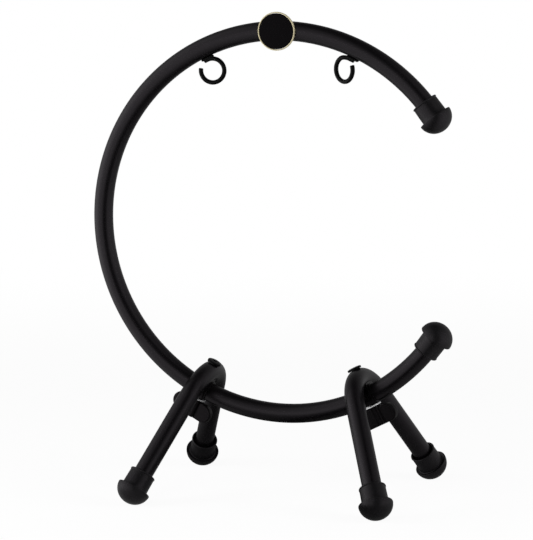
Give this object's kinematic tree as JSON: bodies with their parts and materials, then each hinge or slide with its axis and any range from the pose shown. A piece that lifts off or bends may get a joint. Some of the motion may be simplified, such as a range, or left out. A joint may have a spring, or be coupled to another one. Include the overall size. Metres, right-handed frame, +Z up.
{
  "type": "gong stand",
  "caption": "Table-top gong stand: an open ring of black steel tube with cord hooks, clamped by wing knobs to arched tube legs on rubber feet.",
  "frame": {"origin": "on the floor, under the middle of the whole stand", "axes": "+Z up; the ring lies in the XZ plane and opens towards +X; -Y is the front, where the badge is"},
  "size_m": [0.4946, 0.3008, 0.635],
  "materials": {
    "powder_coat": "satin black powder coat with fine orange peel",
    "rubber": "dull charcoal rubber",
    "moulded_plastic": "fine matt moulded black",
    "badge_face": "plain satin black disc",
    "pale_brass": "pale polished brass",
    "black_steel": "blackened steel, slightly glossy",
    "zinc_steel": "bright zinc plating",
    "threaded_steel": "yellowish zinc plating"
  },
  "bodies": {
    "stand": {"ring_tube": "powder_coat", "leg_left": "powder_coat", "leg_right": "powder_coat", "hook_left": "black_steel", "hook_right": "black_steel", "ring_cap_upper": "rubber", "ring_cap_lower": "rubber", "foot_left_front": "rubber", "foot_left_back": "rubber", "foot_right_front": "rubber", "foot_right_back": "rubber", "badge_pad": "moulded_plastic", "badge_plate": "badge_face", "badge_rim": "pale_brass", "saddle_left": "moulded_plastic", "saddle_right": "moulded_plastic", "bolt_left": "black_steel", "bolt_right": "black_steel"},
    "washer_left_body": {"washer_left": "zinc_steel"},
    "knob_left_body": {"knob_left": "moulded_plastic", "knob_insert_left": "threaded_steel"},
    "washer_right_body": {"washer_right": "zinc_steel"},
    "knob_right_body": {"knob_right": "moulded_plastic", "knob_insert_right": "threaded_steel"}
  },
  "joints": [
    {"name": "washer_left_slide", "type": "slide", "parent": "stand", "child": "washer_left_body", "axis": [-0.4591, 0, -0.8884], "range_m": [0, 0.005]},
    {"name": "knob_left_turn", "type": "hinge", "parent": "washer_left_body", "child": "knob_left_body", "pos_m": [-0.09812, 0, 0.13355], "axis": [-0.4591, 0, -0.8884], "range_deg": [0, 1440]},
    {"name": "washer_right_slide", "type": "slide", "parent": "stand", "child": "washer_right_body", "axis": [0.4591, 0, -0.8884], "range_m": [0, 0.005]},
    {"name": "knob_right_turn", "type": "hinge", "parent": "washer_right_body", "child": "knob_right_body", "pos_m": [0.13355, 0, 0.13355], "axis": [0.4591, 0, -0.8884], "range_deg": [0, 1440]}
  ],
  "couplings": [
    {"joint": "washer_left_slide", "follows": "knob_left_turn", "m_per_rad": 0.00019894},
    {"joint": "washer_right_slide", "follows": "knob_right_turn", "m_per_rad": 0.00019894}
  ]
}
